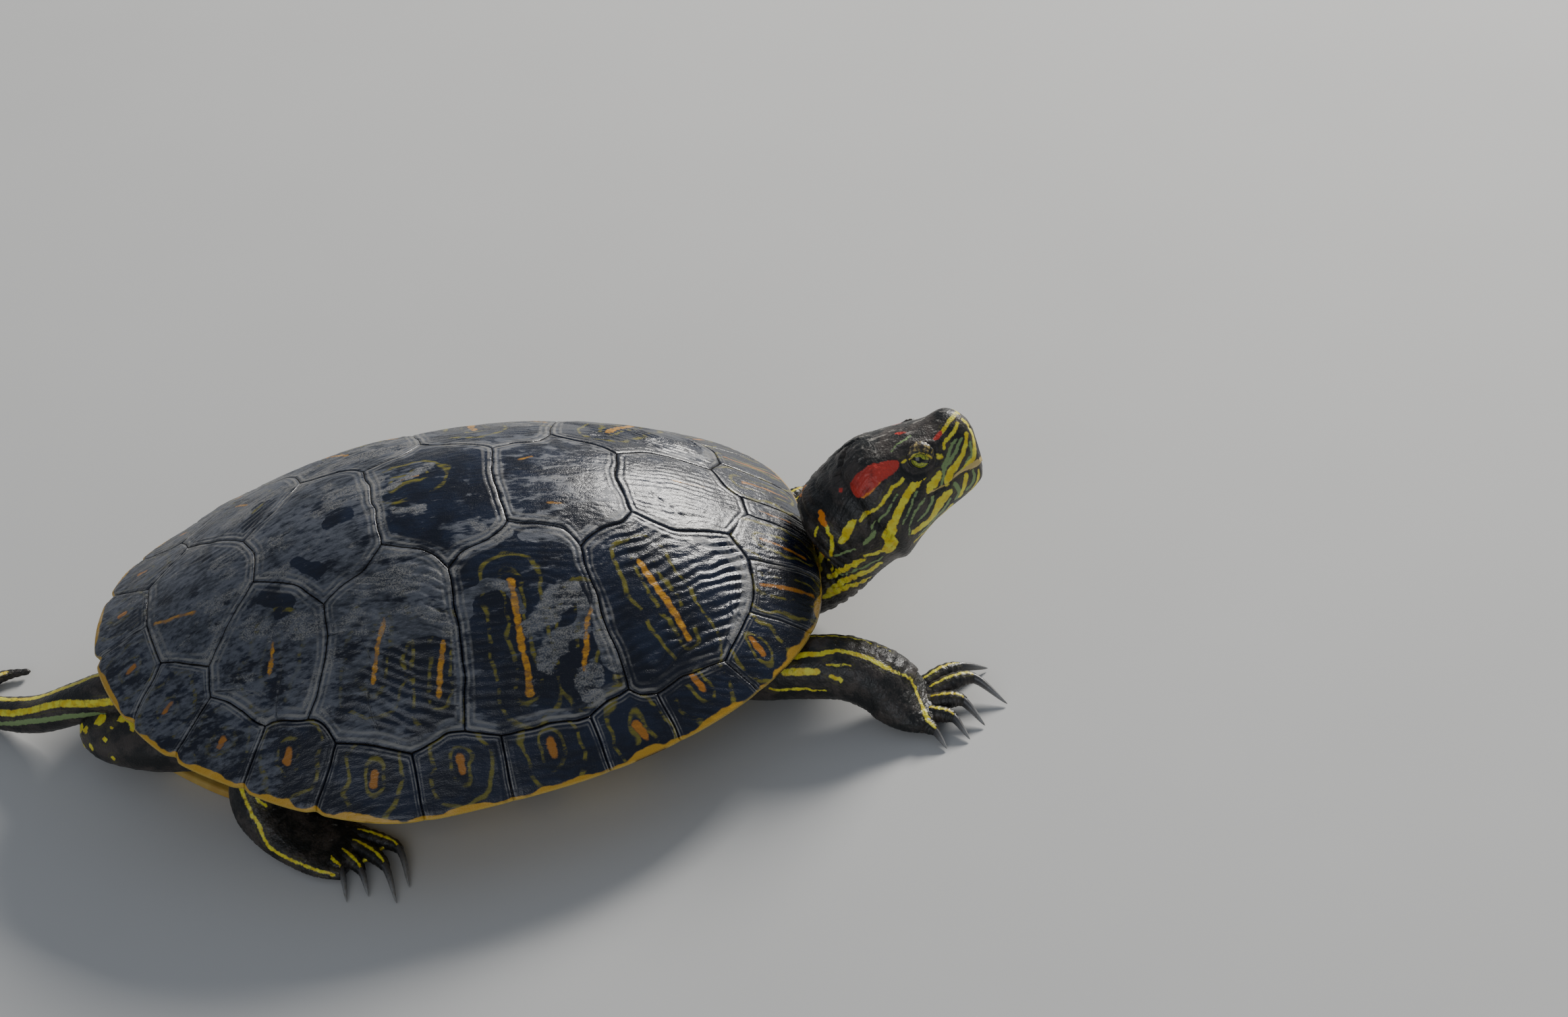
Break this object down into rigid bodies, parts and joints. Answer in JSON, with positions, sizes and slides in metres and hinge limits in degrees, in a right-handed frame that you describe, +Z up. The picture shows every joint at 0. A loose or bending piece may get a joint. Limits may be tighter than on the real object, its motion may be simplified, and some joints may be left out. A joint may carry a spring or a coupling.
{
  "type": "red-eared slider turtle",
  "caption": "Still, life-size slider turtle: a domed shell of horny plates over a flat plastron, a striped head raised on a folded neck, clawed webbed feet and a curled tail.",
  "frame": {"origin": "on the floor, in the flat underside of the plastron, on the midline below the middle of the shell", "axes": "+X towards the head, +Y towards the animal's left side, +Z up"},
  "size_m": [0.3413, 0.197, 0.085],
  "materials": {
    "scute": "horny plates, blue-black, satin to wet gloss, with orange-yellow bars and fine olive lines",
    "plastron": "yellow horn with smoky black blotches, worn satin",
    "skin": "scaly black skin with yellow stripes and a red patch behind each eye, damp satin",
    "eye": "wet gloss, yellow-green iris round a black pupil with a dark bar"
  },
  "bodies": {
    "root": {"nuchal": "scute", "vertebral_1": "scute", "vertebral_2": "scute", "vertebral_3": "scute", "vertebral_4": "scute", "vertebral_5": "scute", "pleural_left_1": "scute", "pleural_left_2": "scute", "pleural_left_3": "scute", "pleural_left_4": "scute", "marginal_left_1": "scute", "marginal_left_2": "scute", "marginal_left_3": "scute", "marginal_left_4": "scute", "marginal_left_5": "scute", "marginal_left_6": "scute", "marginal_left_7": "scute", "marginal_left_8": "scute", "marginal_left_9": "scute", "marginal_left_10": "scute", "marginal_left_11": "scute", "marginal_left_12": "scute", "pleural_right_1": "scute", "pleural_right_2": "scute", "pleural_right_3": "scute", "pleural_right_4": "scute", "marginal_right_1": "scute", "marginal_right_2": "scute", "marginal_right_3": "scute", "marginal_right_4": "scute", "marginal_right_5": "scute", "marginal_right_6": "scute", "marginal_right_7": "scute", "marginal_right_8": "scute", "marginal_right_9": "scute", "marginal_right_10": "scute", "marginal_right_11": "scute", "marginal_right_12": "scute", "plastron": "plastron", "trunk": "skin", "head": "skin", "lower_jaw": "skin", "neck": "skin", "tail_base": "skin", "tail_tip": "skin", "eye_left": "eye", "eye_right": "eye", "fore_upper_leg_left": "skin", "fore_lower_leg_left": "skin", "fore_foot_left": "skin", "fore_upper_leg_right": "skin", "fore_lower_leg_right": "skin", "fore_foot_right": "skin", "hind_upper_leg_left": "skin", "hind_lower_leg_left": "skin", "hind_foot_left": "skin", "hind_upper_leg_right": "skin", "hind_lower_leg_right": "skin", "hind_foot_right": "skin"}
  },
  "joints": []
}
